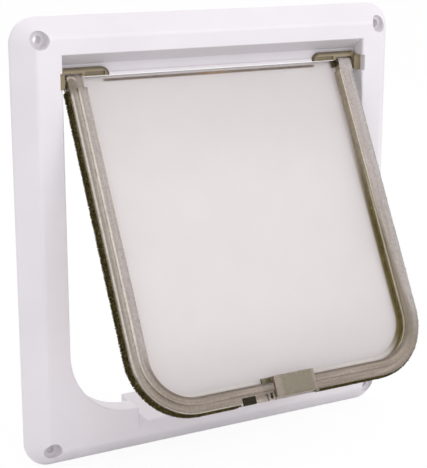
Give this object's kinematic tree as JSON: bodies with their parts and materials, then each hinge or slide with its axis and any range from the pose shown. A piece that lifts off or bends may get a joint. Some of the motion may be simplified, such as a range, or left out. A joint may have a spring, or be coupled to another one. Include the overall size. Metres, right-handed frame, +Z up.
{
  "type": "cat flap",
  "caption": "Moulded door surround with a tinted clear swing flap hung from corner bearings, pile draught strips, a magnetic catch and a slide lock over a sloped sill.",
  "frame": {"origin": "middle of the four screw holes on the door's face", "axes": "+X to the right seen from outside the door, +Y into the door, +Z up; the surround stands at negative Y"},
  "size_m": [0.191, 0.0848, 0.2],
  "materials": {
    "white_plastic": "satin moulded white",
    "clear_tint": "frosted smoke tint, translucent",
    "tinted_plastic": "smoke-brown tint, translucent",
    "pile": "dark brown pile",
    "ferrite": "black ferrite"
  },
  "bodies": {
    "frame": {"frame": "white_plastic", "sill": "white_plastic", "hinge_bearing_left": "tinted_plastic", "hinge_bearing_right": "tinted_plastic", "sill_magnet": "ferrite"},
    "flap": {"flap": "clear_tint", "pile_strip_left": "pile", "pile_strip_right": "pile", "flap_magnet": "ferrite"},
    "lock": {"lock_slide": "tinted_plastic"}
  },
  "joints": [
    {"name": "flap_hinge", "type": "hinge", "parent": "frame", "child": "flap", "pos_m": [0, -0.0026, 0.0716], "axis": [-1, 0, 0], "range_deg": [-106, 44]},
    {"name": "lock_slide", "type": "slide", "parent": "flap", "child": "lock", "axis": [0, -0.4695, -0.8829], "range_m": [0, 0.005]}
  ]
}
